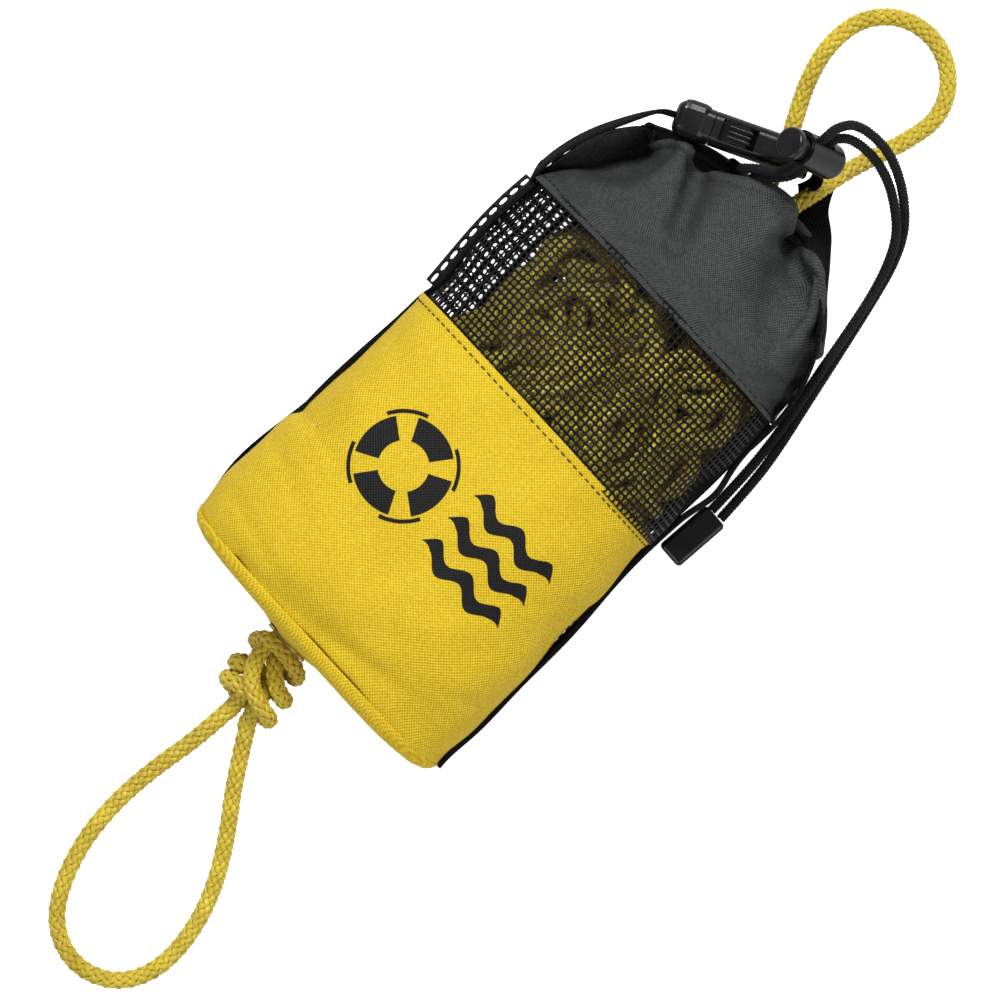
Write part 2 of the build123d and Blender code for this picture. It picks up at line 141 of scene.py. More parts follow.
# ---- materials
class Nodes:
    """A short way to write a material's node tree."""

    def __init__(self, name, roughness=0.6):
        self.material = bpy.data.materials.new(name)
        self.material.use_nodes = True
        self.tree = self.material.node_tree
        self.shader = self.tree.nodes["Principled BSDF"]
        self.set("Roughness", roughness)

    def set(self, socket, value):
        self.shader.inputs[socket].default_value = value

    def add(self, kind, **settings):
        node = self.tree.nodes.new(kind)
        for key, value in settings.items():
            setattr(node, key, value)
        return node

    def feed(self, socket, value):
        """Links a socket to an output, or sets it to a number or colour."""
        if isinstance(value, bpy.types.NodeSocket):
            self.tree.links.new(value, socket)
        else:
            socket.default_value = value

    def math(self, operation, a, b=0.0):
        node = self.add("ShaderNodeMath", operation=operation)
        self.feed(node.inputs[0], a)
        self.feed(node.inputs[1], b)
        return node.outputs[0]

    def axes(self):
        """The mesh's own cloth coordinates, across and along, in mm."""
        place = self.add("ShaderNodeUVMap", uv_map="cloth")
        parts = self.add("ShaderNodeSeparateXYZ")
        self.tree.links.new(place.outputs[0], parts.inputs[0])
        return parts.outputs[0], parts.outputs[1]

    def place(self):
        return self.add("ShaderNodeTexCoord").outputs["Object"]

    def noise(self, where, scale, detail=2.0):
        node = self.add("ShaderNodeTexNoise")
        self.feed(node.inputs["Vector"], where)
        node.inputs["Scale"].default_value = scale
        node.inputs["Detail"].default_value = detail
        return node.outputs["Fac"]

    def total(self, *parts):
        """The sum of outputs, each times its own weight."""
        result, *others = [self.math("MULTIPLY", value, weight) for value, weight in parts]
        for value in others:
            result = self.math("ADD", result, value)
        return result

    def colour(self, value, low, high, dark, light):
        """A base colour that runs from dark to light as value runs from low to high."""
        spread = self.add("ShaderNodeMapRange")
        self.feed(spread.inputs["Value"], value)
        spread.inputs["From Min"].default_value = low
        spread.inputs["From Max"].default_value = high
        mix = self.add("ShaderNodeMix", data_type="RGBA")
        self.tree.links.new(spread.outputs["Result"], mix.inputs["Factor"])
        mix.inputs["A"].default_value = (*dark, 1)
        mix.inputs["B"].default_value = (*light, 1)
        self.feed(self.shader.inputs["Base Color"], mix.outputs["Result"])

    def bump(self, height, distance, strength=1.0):
        node = self.add("ShaderNodeBump")
        node.inputs["Distance"].default_value = distance * MM
        node.inputs["Strength"].default_value = strength
        self.feed(node.inputs["Height"], height)
        self.tree.links.new(node.outputs["Normal"], self.shader.inputs["Normal"])

    def wave(self, value, pitch):
        """A sine of a length, one full turn each two pitches."""
        return self.math("SINE", self.math("MULTIPLY", value, math.pi / pitch))


def cloth_material(name, dark, light, pitch, depth, roughness, blotch=0.25, gloss=0.2):
    """Plain weave: yarns that pass over and under each other, with a little unevenness."""
    n = Nodes(name, roughness)
    across, along = n.axes()
    over = n.math("MULTIPLY", n.wave(across, pitch), n.wave(along, pitch))
    grain = n.noise(n.place(), 900.0)
    patches = n.noise(n.place(), 45.0, 3.0)
    n.colour(n.total((over, 0.34), (grain, 0.6), (patches, blotch)), 0.1, 0.75, dark, light)
    n.bump(n.total((over, 1.0), (grain, 0.9)), depth)
    n.set("Specular IOR Level", gloss)
    return n.material


def rope_material(name, dark, light, roughness, fibre=7.0, gloss=0.5, sheen=0.15):
    """Filament yarn: fine streaks along each strand, darker where strands dip."""
    n = Nodes(name, roughness)
    across, along = n.axes()
    stretch = n.add("ShaderNodeCombineXYZ")
    n.feed(stretch.inputs[0], n.math("MULTIPLY", across, fibre))
    n.feed(stretch.inputs[1], n.math("MULTIPLY", along, 0.35))
    streak = n.noise(stretch.outputs[0], 1.6, 3.0)
    patches = n.noise(n.place(), 120.0, 2.0)
    n.colour(n.total((streak, 0.8), (patches, 0.5)), 0.4, 0.95, dark, light)
    n.bump(streak, 0.18)
    n.set("Sheen Weight", sheen)
    n.set("Specular IOR Level", gloss)
    return n.material


def painted_shade_braid_material(name, dark, light, pitch, depth):
    """A plain tube that reads as a braid: crossed diagonal strands round it, with painted shade where they dip
    between each other.
    """
    n = Nodes(name, 0.5)
    across, along = n.axes()
    one = n.wave(n.math("ADD", across, along), pitch)
    two = n.wave(n.math("SUBTRACT", across, along), pitch)
    height = n.math("MAXIMUM", n.math("ABSOLUTE", one), n.math("ABSOLUTE", two))
    patches = n.noise(n.place(), 90.0, 3.0)
    # Painted shade: the colour darkens in the gaps between the strands, which the plain tube has only as a
    # bump.
    n.colour(n.total((height, 0.6), (patches, 0.5)), 0.5, 1.05, dark, light)
    n.bump(height, depth)
    return n.material


def plastic_material(name, colour, roughness, gloss=0.45):
    """Moulded plastic: a faint spark-eroded grain and slightly uneven gloss."""
    n = Nodes(name, roughness)
    grain = n.noise(n.place(), 2600.0)
    patches = n.noise(n.place(), 140.0, 3.0)
    shade = n.add("ShaderNodeMapRange")
    n.feed(shade.inputs["Value"], patches)
    shade.inputs["To Min"].default_value = roughness - 0.06
    shade.inputs["To Max"].default_value = roughness + 0.1
    n.feed(n.shader.inputs["Roughness"], shade.outputs["Result"])
    light = tuple(c * 1.5 + 0.002 for c in colour)
    n.colour(patches, 0.3, 0.8, colour, light)
    n.bump(grain, 0.04)
    n.set("Specular IOR Level", gloss)
    return n.material


def metal_material(name, dark, light, roughness):
    """Plated metal with fine scratches."""
    n = Nodes(name, roughness)
    n.set("Metallic", 1.0)
    n.colour(n.noise(n.place(), 300.0, 4.0), 0.3, 0.7, dark, light)
    n.bump(n.noise(n.place(), 1500.0), 0.02)
    return n.material


YELLOW = cloth_material("yellow_cloth", (0.56, 0.36, 0.008), (0.92, 0.68, 0.03), 0.62, 0.12, 0.62, 0.2)
GREY = cloth_material("grey_cloth", (0.018, 0.019, 0.020), (0.095, 0.098, 0.098), 0.5, 0.09, 0.6, 0.12)
NET = plastic_material("black_mesh", (0.003, 0.003, 0.003), 0.42, 0.14)
TAPE = cloth_material("black_tape", (0.002, 0.002, 0.002), (0.012, 0.012, 0.013), 0.8, 0.12, 0.85, 0.2, 0.08)
WEBBING = cloth_material("webbing", (0.002, 0.002, 0.002), (0.012, 0.012, 0.013), 1.1, 0.2, 0.85, 0.2, 0.06)
THREAD = cloth_material("thread_black", (0.004, 0.004, 0.004), (0.02, 0.02, 0.02), 0.2, 0.02, 0.6)
ROPE = rope_material("rope_yellow", (0.44, 0.29, 0.006), (0.96, 0.78, 0.06), 0.32, 7.0, 0.6, 0.06)
# Painted shade: the core under the rope's braid is dark brown, standing for the shade in the gaps between
# strands.
ROPE_CORE_PAINTED_SHADE = rope_material("rope_core_painted_shade", (0.13, 0.08, 0.004), (0.28, 0.19, 0.015), 0.7)
# The stuffed rope's light colour is raised as painted light, to make up for the shadow the window mesh casts on
# it; its dark colour is painted shade between the strands.
ROPE_PLAIN_PAINTED_LIGHT_AND_SHADE = painted_shade_braid_material("rope_stuffed", (0.32, 0.18, 0.006), (1.0, 0.86, 0.12), 2.4, 0.5)
CORD = rope_material("drawcord_black", (0.002, 0.002, 0.002), (0.016, 0.016, 0.017), 0.5, 9.0, 0.25, 0.0)
BLACK = plastic_material("black_plastic", (0.004, 0.004, 0.0045), 0.26)
FOAM = cloth_material("foam", (0.55, 0.54, 0.50), (0.80, 0.79, 0.75), 0.9, 0.1, 0.9)
STEEL = metal_material("spring_steel", (0.35, 0.35, 0.35), (0.7, 0.7, 0.7), 0.3)
BRASS = metal_material("eyelet_brass", (0.32, 0.22, 0.07), (0.6, 0.45, 0.2), 0.35)
PRINT = cloth_material("print_black", (0.003, 0.003, 0.003), (0.014, 0.014, 0.014), 0.62, 0.1, 0.55)


# ---- mesh tools
def piece(name, points, faces, material, cloth, body="bag"):
    """A smooth mesh from points in mm, with cloth coordinates in mm, that rides on a body."""
    mesh = bpy.data.meshes.new(name)
    mesh.from_pydata((np.asarray(points, float) * MM).tolist(), [], [tuple(f) for f in faces])
    layer = mesh.uv_layers.new(name="cloth")
    order = np.empty(len(mesh.loops), int)
    mesh.loops.foreach_get("vertex_index", order)
    layer.data.foreach_set("uv", np.asarray(cloth, float)[order].ravel())
    mesh.polygons.foreach_set("use_smooth", [True] * len(mesh.polygons))
    mesh.materials.append(material)
    mesh.update()
    obj = bpy.data.objects.new(name, mesh)
    bpy.context.scene.collection.objects.link(obj)
    if body:
        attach(obj, body)
    return obj


def grid_faces(rows, cols, close_cols=False, start=0):
    """Quads of a grid stored row by row."""
    r, c = np.meshgrid(np.arange(rows - 1), np.arange(cols if close_cols else cols - 1), indexing="ij")
    nxt = (c + 1) % cols
    quads = np.stack([r * cols + c, r * cols + nxt, (r + 1) * cols + nxt, (r + 1) * cols + c], axis=-1)
    return (quads.reshape(-1, 4) + start).tolist()


def paired(across, along):
    """Cloth coordinates of a grid, from those of its columns and of its rows."""
    return np.stack(np.broadcast_arrays(across, along), axis=-1)


def spokes(angle, side, other):
    """Directions at the given angles round each point of a line."""
    return np.cos(angle)[None, :, None] * side[:, None] + np.sin(angle)[None, :, None] * other[:, None]


def closed_tube(rows, cols, start=0):
    """Faces of rings stored row by row, with a cap on each end."""
    last = start + (rows - 1) * cols
    caps = [tuple(range(start, start + cols))[::-1], tuple(range(last, last + cols))]
    return grid_faces(rows, cols, True, start) + caps


def run_along(line):
    """How far along a line each of its points is."""
    return np.concatenate([[0], np.cumsum(np.linalg.norm(np.diff(line, axis=0), axis=1))])


def unit(vectors):
    return vectors / np.linalg.norm(vectors, axis=1, keepdims=True)


def circle(count):
    """Even angles round a circle."""
    return np.arange(count) * 2 * math.pi / count


def bell(value, middle, width):
    """A smooth hump, 1 high at its middle."""
    return np.exp(-(((value - middle) / width) ** 2))


def mound(x, y, middle, size):
    """A smooth hump in plan, 1 high at its middle."""
    return np.exp(-(((x - middle[0]) / size[0]) ** 2 + ((y - middle[1]) / size[1]) ** 2))


def step_at(value, place, soft):
    """A smooth step from 0 to 1 at a place; a negative softness steps from 1 to 0."""
    return 1 / (1 + np.exp(-(value - place) / soft))


def through(values, count, knots=None):
    """A natural cubic curve through the values along their first axis, at count even samples."""
    values = np.asarray(values, float)
    t = np.arange(len(values), dtype=float) if knots is None else np.asarray(knots, float)
    where = np.linspace(t[0], t[-1], count) if np.isscalar(count) else np.asarray(count, float)
    flat = values.reshape(len(values), -1)
    h = np.diff(t)
    n = len(t)
    system = np.eye(n)
    right = np.zeros((n, flat.shape[1]))
    for i in range(1, n - 1):
        system[i, i - 1: i + 2] = h[i - 1], 2 * (h[i - 1] + h[i]), h[i]
        right[i] = 6 * ((flat[i + 1] - flat[i]) / h[i] - (flat[i] - flat[i - 1]) / h[i - 1])
    second = np.linalg.solve(system, right)
    shape = where.shape
    where = where.ravel()
    k = np.clip(np.searchsorted(t, where, side="right") - 1, 0, n - 2)
    a, b, step = t[k + 1] - where, where - t[k], h[k]
    out = (
        (second[k].T * a**3 + second[k + 1].T * b**3) / (6 * step)
        + (flat[k].T / step - second[k].T * step / 6) * a
        + (flat[k + 1].T / step - second[k + 1].T * step / 6) * b
    ).T
    return out.reshape(shape + values.shape[1:])


def crease(x, y, a, b, depth, width):
    """A soft furrow along the plan segment from a to b; a negative depth is a ridge."""
    a, b = np.array(a, float), np.array(b, float)
    way = b - a
    t = np.clip(((x - a[0]) * way[0] + (y - a[1]) * way[1]) / (way @ way), 0, 1)
    off = (x - a[0] - t * way[0]) ** 2 + (y - a[1] - t * way[1]) ** 2
    return -depth * (1 - 0.6 * t) * np.exp(-off / width**2)


def ripple(x, y, waves):
    """A sum of plane waves, each as size, wavelength, direction in degrees and phase."""
    total = np.zeros(np.shape(x))
    for size, length, direction, phase in waves:
        way = math.radians(direction)
        total += size * np.sin(2 * math.pi * (x * math.cos(way) + y * math.sin(way)) / length + phase)
    return total


def solid(obj, thickness, offset=-1.0):
    """Gives a sheet its thickness, in mm."""
    shell = obj.modifiers.new("thickness", "SOLIDIFY")
    shell.thickness = thickness * MM
    shell.offset = offset
    return obj


def cloth_sheet(name, points, cloth, material, thickness):
    """A sheet of cloth from a grid of points."""
    faces = grid_faces(*points.shape[:2])
    return solid(piece(name, points.reshape(-1, 3), faces, material, cloth.reshape(-1, 2)), thickness)


# ---- the bag's form
STATIONS = np.array([
    # y, left, right, top, seam height, sag below the floor, turn
    (-119, -41, 45, 44, 27, -10, -2.8),
    (-116, -51, 54, 53, 29, -3, -2.8),
    (-109, -57.5, 58.5, 62, 31, 0.8, -2.8),
    (-94, -60, 59.5, 68, 33, 1.5, -2.8),
    (-70, -58.5, 59.5, 71, 34, 1.5, -2.5),
    (-40, -55, 59, 71, 34, 1.5, -2.5),
    (-5, -54, 58, 68, 33, 1.5, -2.5),
    (25, -56, 59, 62, 31, 1.5, -2),
    (49, -55, 58, 55, 29, 1.5, -1),
    (66, -51, 55, 48, 27, 1.3, 0),
    (79, -43, 49.5, 43, 25, 1.1, 0),
])
POWERS = (2.35, 2.9)
FLOOR = 0.35             # the underside's height where it rests


def arc_angles(aspect, power, count):
    """Angles that step evenly along a half section from its right seam to its left one."""
    angle = np.linspace(0, math.pi, 721)
    across = np.sign(np.cos(angle)) * np.abs(np.cos(angle)) ** (2 / power)
    rise = aspect * np.abs(np.sin(angle)) ** (2 / power)
    length = np.concatenate([[0], np.cumsum(np.hypot(np.diff(across), np.diff(rise)))])
    return np.interp(np.linspace(0, length[-1], count), length, angle)


EVEN_ANGLE = [arc_angles(0.62, POWERS[0], 401), arc_angles(0.6, POWERS[1], 401)]


def on_bag(share, y, under=False, out=0.0):
    """Points of the bag's skin: share runs from -1 at the left seam to 1 at the right one."""
    share, y = np.broadcast_arrays(np.asarray(share, float), np.asarray(y, float))
    left, right, top, seam, sag, turn = np.moveaxis(
        through(STATIONS[:, 1:], np.clip(y, STATIONS[0, 0], STATIONS[-1, 0]), STATIONS[:, 0]), -1, 0
    )
    angle = np.interp((1 - share) / 2, np.linspace(0, 1, 401), EVEN_ANGLE[int(under)])
    power = POWERS[int(under)]
    half = (right - left) / 2 + out
    across = np.sign(np.cos(angle)) * np.abs(np.cos(angle)) ** (2 / power) * half
    rise = np.abs(np.sin(angle)) ** (2 / power)
    height = seam - rise * (seam + sag + out) if under else seam + rise * (top - seam + out)
    x = (left + right) / 2 + across
    y = y + across * np.tan(np.radians(turn))
    return np.stack([x, y, np.maximum(height, FLOOR)], axis=-1)


def edge_at(middle, tilt):
    """A cut across the bag: where it is for each share, straight in plan but for its tilt."""
    return lambda share: middle + np.asarray(share) * HALF_WIDTH * math.tan(math.radians(tilt))


TOP_OF_YELLOW = edge_at(-6.2, -0.4)
TOP_OF_WINDOW = edge_at(49.0, -0.6)


def bottom_seam(share):
    """The seam round the bottom curves up at its two corners."""
    return -111.9 + 3.0 * np.abs(share) ** 6


def patch(low, high, rows, cols, under=False):
    """A grid of skin points between two cuts, with cloth coordinates."""
    share = np.linspace(-1, 1, cols)
    t = np.linspace(0, 1, rows)[:, None]
    y = low(share)[None, :] * (1 - t) + high(share)[None, :] * t
    points = on_bag(np.broadcast_to(share, y.shape), y, under)
    across = np.broadcast_to(share * CLOTH_HALF, y.shape)
    return points, np.stack([across, y], axis=-1)


def normals(points):
    """Normals of a grid of skin points: outward on the bag's upper half, inward on its lower half."""
    along = np.gradient(points, axis=0)
    across = np.gradient(points, axis=1)
    n = np.cross(across, along)
    return n / np.maximum(np.linalg.norm(n, axis=-1, keepdims=True), 1e-9)


# ---- yellow cloth
# Furrows and ridges of the yellow cloth: from, to, depth and width.
FRONT_CREASES = [
    ((-57, -60), (-34, -64), 1.0, 2.6), ((-54, -74), (-30, -84), 0.8, 3.4), ((-52, -96), (-20, -104), 0.9, 3.0),
    ((-36, -110), (6, -108), 0.8, 2.4), ((10, -107), (48, -99), 0.8, 3.2), ((56, -88), (38, -96), 0.7, 2.6),
    ((57, -40), (44, -52), 0.6, 3.0), ((-50, -20), (-38, -30), 0.5, 3.0), ((20, -92), (44, -74), 0.5, 4.0),
]


def front_waves(points):
    """Slack in the stuffed front: soft bulges of the rope, a pucker at the left, creases below."""
    x, y = points[..., 0], points[..., 1]
    lift = ripple(x, y, [(0.5, 61, 20, 0.4), (0.45, 43, 105, 1.9), (0.25, 27, 60, 2.2), (0.16, 17, 150, 0.7)])
    lift -= 1.9 * mound(x, y, (-50, -58), (9, 5.5))
    lift += 1.2 * mound(x, y, (-47, -44), (10, 6))
    lift -= 1.1 * mound(x - 0.25 * (y + 108), y, (8, -106), (34, 4.5))
    lift += 0.9 * mound(x, y, (-30, -101), (16, 7))
    for a, b, depth, width in FRONT_CREASES:
        lift += crease(x, y, a, b, depth, width)
    return lift


def make_front_panel():
    """Coated cloth, its upper edge folded over and stitched down."""
    points, cloth = patch(bottom_seam, TOP_OF_YELLOW, 230, 250)
    n = normals(points)
    points = points + n * front_waves(points)[..., None]
    below = TOP_OF_YELLOW(cloth[..., 0] / CLOTH_HALF) - cloth[..., 1]
    fold = 0.55 * step_at(below, 3.4, -0.25) - 0.35 * bell(below, 2.7, 0.5)
    points = points + n * fold[..., None]
    obj = cloth_sheet("front_panel_cloth", points, cloth, YELLOW, YELLOW_THICK)
    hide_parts("front_panel")
    return points


# Rings of the bottom panel: their size beside the rim's, and how far they stand out.
BOTTOM_PUFF = [
    (0.998, 0.2), (0.992, 1.1), (0.972, 2.2), (0.92, 3.2), (0.82, 3.8), (0.62, 4.1), (0.42, 4.2), (0.24, 4.2),
]


def make_bottom_panel():
    """The oval end piece, a little puffed out past its seam."""
    cols = 120
    share = np.linspace(-1, 1, cols)
    upper = on_bag(share, bottom_seam(share))
    lower = on_bag(share[::-1], bottom_seam(share), under=True)[1:-1]
    rim = np.concatenate([upper, lower])
    middle = np.array([2.0, 0.0, 27.0])
    rim[:, 2] = np.maximum(rim[:, 2], FLOOR + 0.8)
    rows = [rim + (0, 0.6, 0)]
    for grow, push in BOTTOM_PUFF:
        ring = middle + (rim - middle) * grow
        lean = 1.14 + 0.1 * np.tanh(ring[:, 0] / 25)
        ring[:, 1] = rim[:, 1] - push * lean - 0.055 * (ring[:, 0] - rim[:, 0])
        ring[:, 1] -= 2.6 * mound(ring[:, 0], ring[:, 2], (EYELET[0], EYELET[2]), (12, 10))
        ring[:, 1] += 0.35 * np.sin(ring[:, 0] / 7.0) * (1 - grow)
        ring[:, 2] = np.maximum(ring[:, 2], FLOOR + 0.8)
        rows.append(ring)
    points = np.array(rows)
    count = points.shape[1]
    faces = grid_faces(len(rows), count, close_cols=True)
    angle = np.arctan2(points[-1, :, 2] - EYELET[2], points[-1, :, 0] - EYELET[0])
    reach = np.stack([np.cos(angle), np.zeros(count), np.sin(angle)], axis=1) * EYELET_R
    all_points = np.concatenate([points.reshape(-1, 3), EYELET + reach])
    faces += grid_faces(2, count, close_cols=True, start=(len(rows) - 1) * count)
    cloth = np.stack([all_points[:, 0], all_points[:, 2] - all_points[:, 1]], axis=1)
    obj = piece("bottom_panel_cloth", all_points, faces, YELLOW, cloth)
    solid(obj, YELLOW_THICK)
    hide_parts("bottom_panel")


# ---- mesh cloth
def net(name, points, hole, thickness):
    """A holed sheet on a grid of cell corners; each cell has a rounded hole of the given share."""
    rows, cols = points.shape[:2]
    a, b = points[:-1, :-1], points[:-1, 1:]
    c, d = points[1:, 1:], points[1:, :-1]
    sides = 8
    turn = circle(sides) + math.pi / sides
    u = 0.5 + hole[0] * np.sign(np.cos(turn)) * np.abs(np.cos(turn)) ** 0.7
    v = 0.5 + hole[1] * np.sign(np.sin(turn)) * np.abs(np.sin(turn)) ** 0.7
    u, v = u[:, None, None, None], v[:, None, None, None]
    ring = a * (1 - u) * (1 - v) + b * u * (1 - v) + c * u * v + d * (1 - u) * v
    cells = (rows - 1) * (cols - 1)
    ring = np.moveaxis(ring, 0, 2).reshape(cells, sides, 3)
    corner = np.arange(rows * cols).reshape(rows, cols)
    corners = [corner[:-1, :-1], corner[:-1, 1:], corner[1:, 1:], corner[1:, :-1]]
    corners = np.stack(corners, -1).reshape(cells, 4)
    first = rows * cols + np.arange(cells) * sides
    faces = []
    for side, (near, far) in enumerate(((2, 3), (3, 0), (0, 1), (1, 2))):
        i, j = 2 * side, 2 * side + 1
        k = (j + 1) % sides
        faces.append(np.stack([corners[:, near], first + i, first + j], -1))
        faces.append(np.stack([corners[:, near], first + j, first + k, corners[:, far]], -1))
    triangles = np.concatenate(faces[0::2]).tolist()
    quads = np.concatenate(faces[1::2]).tolist()
    everything = np.concatenate([points.reshape(-1, 3), ring.reshape(-1, 3)])
    obj = piece(name, everything, triangles + quads, NET, everything[:, :2])
    return solid(obj, thickness, 0.0)


def make_window():
    """Coated black mesh over the rope, dipping where the bag isn't full."""
    points, _ = patch(lambda s: TOP_OF_YELLOW(s) - 1.5, lambda s: TOP_OF_WINDOW(s) + 1.5, 27, 66)
    x, y = points[..., 0], points[..., 1]
    lift = ripple(x, y, [(0.7, 38, 75, 0.3), (0.5, 24, 20, 1.0), (0.35, 17, 130, 2.0)])
    lift -= 2.6 * mound(x, y, (-48, 22), (9, 26))
    points = points + normals(points) * (lift - 0.4)[..., None]
    obj = net("mesh_window_net", points, (0.378, 0.378), 0.34)
    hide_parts("mesh_window")


def make_back():
    """The back is one panel of coarser mesh, flattened where the bag rests on it."""
    points, _ = patch(bottom_seam, lambda s: TOP_OF_WINDOW(s) + 2, 44, 36, under=True)
    points[..., 2] = np.maximum(points[..., 2], FLOOR + 0.3)
    obj = net("back_panel_net", points, (0.32, 0.36), 0.5)
    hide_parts("back_panel")


# ---- grey collar
# Rows from above the lower edge to the mouth; columns from the left seam over the front to the right one.
COLLAR_ROWS = [
    [(-53.6, 61, 26), (-51, 60.5, 24), (-48.6, 60.5, 31), (-43, 59, 37), (-33, 58.5, 43.5),
     (-18, 58, 47.5),
     (-6, 57.8, 49.5), (6, 57.5, 50.5), (19, 57, 50), (33, 56.5, 47.5), (44, 55.5, 43),
     (52, 53.5, 37), (57.8, 51.5, 27)],
    [(-50.5, 73, 23), (-44, 70.5, 17), (-39.4, 67.5, 25), (-34, 69, 34), (-26, 69.5, 40),
     (-13, 68.5, 39.5),
     (-3, 68.5, 45), (8, 68.5, 46.5), (20, 68.5, 45.5), (34, 68.5, 39.5), (43, 67.5, 40.5),
     (51, 63.5, 35.5), (57.2, 60, 25)],
    [(-44.5, 84.5, 20), (-37.5, 82, 13), (-33.4, 79.5, 21), (-30.5, 82, 30), (-24.5, 83.5, 35),
     (-13.5, 82.5, 31.5),
     (-5.5, 86, 39.5), (5, 87, 42.5), (17, 85.5, 40.5), (29, 84, 28.5), (38.5, 83.5, 37.5),
     (48, 78, 33.5), (55, 70.5, 23)],
    [(-39, 90.8, 17), (-36.8, 89, 14), (-35.6, 86.8, 22), (-32.6, 91, 28), (-25.5, 94.2, 32.5),
     (-17, 92, 25),
     (-8.6, 97.5, 34.5), (4, 104.2, 38), (15.5, 103.6, 36.5), (20.5, 95.5, 23.5), (30.5, 97.6, 34.5),
     (43, 88.4, 31.5), (52.6, 77, 22)],
]
BACK_ROWS = [
    [(-53.6, 61, 26), (-50.5, 61, 11), (-38, 61, 2), (-18, 61, 0.8), (5, 61, 0.8), (30, 59, 1.2),
     (48, 56, 7), (55.5, 53, 16), (57.8, 51.5, 27)],
    [(-50.5, 73, 23), (-47, 74, 11), (-35, 75, 2.6), (-15, 76, 1), (5, 76, 1), (27, 74, 1.8),
     (44, 69, 7), (54, 62, 15), (57.2, 60, 25)],
    [(-44.5, 84.5, 20), (-40, 86, 10), (-28, 88, 3.2), (-10, 90, 1.4), (5, 90, 1.4), (22, 88, 2.2),
     (39, 83, 7.5), (51, 73, 14), (55, 70.5, 23)],
    [(-39, 90.8, 17), (-34, 93.2, 9.5), (-22, 99, 4.2), (-8, 102, 2.4), (5, 103, 2.4), (18, 102, 3),
     (34, 97, 8), (48, 84, 14), (52.6, 77, 22)],
]


def collar_grid(rows, under):
    """A smooth sheet from its lower edge, which lies on the bag, through the control rows."""
    share = np.linspace(-1, 1, len(rows[0]))
    first = on_bag(share, TOP_OF_WINDOW(share) - 0.5, under, out=0.5)
    control = np.array([first] + [np.array(r, float) for r in rows])
    fine = through(control, 110)
    return np.moveaxis(through(np.moveaxis(fine, 1, 0), 260), 0, 1)


# Furrows and ridges of the front collar: from, to, depth and width.
COLLAR_CREASES = [
    ((-20, 92), (-4, 64), 3.2, 3.6), ((-26, 93), (-12, 66), -1.7, 3.4), ((-12, 93), (0, 72), -1.3, 3.2),
    ((-4, 66), (-17, 61.5), 0.8, 1.6), ((-1, 70), (-14, 65.5), -0.5, 1.6), ((-30, 88), (-33, 70), 1.4, 2.6),
    ((21.5, 95), (31, 89), 4.2, 2.7), ((31, 89), (39.5, 80), 4.0, 2.7), ((39.5, 80), (42, 64), 2.2, 2.8),
    ((25, 82), (37, 62), 1.1, 3.0), ((46, 88), (52, 66), 1.2, 2.2), ((44, 84), (47, 64), -0.8, 2.4),
    ((6, 99), (9, 84), 0.8, 2.0), ((-2, 98), (2, 84), 0.7, 1.6), ((14, 99), (13, 86), -0.6, 1.8),
    ((-42, 74), (-50, 62), 1.0, 2.2), ((50, 58), (30, 57), 0.5, 2.0),
]


def make_collar(rows, name, node, hem_node, under, waves, creases=()):
    """Half of the collar, with its lower hem band and the drawcord hem at the mouth."""
    points = collar_grid(rows, under)
    n = normals(points) * (-1 if under else 1)
    x, y = points[..., 0], points[..., 1]
    t = np.linspace(0, 1, len(points))[:, None]
    span = np.linalg.norm(np.diff(points, axis=0), axis=-1).sum(axis=0)
    up = t * span[None, :]
    down = (1 - t) * span[None, :]
    lift = ripple(x, y, waves)
    for a, b, depth, width in creases:
        lift += crease(x, y, a, b, depth, width)
    lift *= np.clip(up / 8, 0, 1)
    lift += 0.5 * step_at(up, 3.3, -0.25) - 0.4 * bell(up, 3.1, 0.5)
    hem = 1.3 * bell(down, 2.6, 2.2) - 0.8 * bell(down, 5.6, 0.7)
    points = points + n * (lift + hem)[..., None]
    points[..., 2] = np.maximum(points[..., 2], FLOOR + 0.95)
    across = np.cumsum(np.linalg.norm(np.diff(points[40], axis=0, prepend=points[40][:1]), axis=-1))
    obj = cloth_sheet(name, points, paired(across[None, :], t * COLLAR_DEPTH), GREY, GREY_THICK)
    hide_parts(node, hem_node)
    return points, n


# ---- stitches and trims
STITCH = 2.3
STITCH_GAP = 0.7


def stitches(name, line, ups, radius=0.24):
    """A row of thread stitches along a line of points."""
    line, ups = np.asarray(line), np.asarray(ups)
    step = run_along(line)
    starts = np.arange(0.3, step[-1] - STITCH, STITCH + STITCH_GAP)
    along, round_by = 5, 6
    points, faces = [], []
    for i, s in enumerate(starts):
        t = np.linspace(s, s + STITCH, along)
        centre = np.stack([np.interp(t, step, line[:, k]) for k in range(3)], axis=1)
        up = np.stack([np.interp(t, step, ups[:, k]) for k in range(3)], axis=1)
        side = np.cross(unit(np.gradient(centre, axis=0)), up)
        swell = np.array([0.25, 0.9, 1.0, 0.9, 0.25])[:, None, None] * radius
        lift = np.array([-0.2, 0.1, 0.15, 0.1, -0.2])[:, None] * up
        ring = spokes(circle(round_by), side, up) * swell
        points.append((centre + lift)[:, None] + ring)
        faces += grid_faces(along, round_by, True, i * along * round_by)
    points = np.concatenate([p.reshape(-1, 3) for p in points])
    obj = piece(name, points, faces, THREAD, points[:, :2])
    return obj


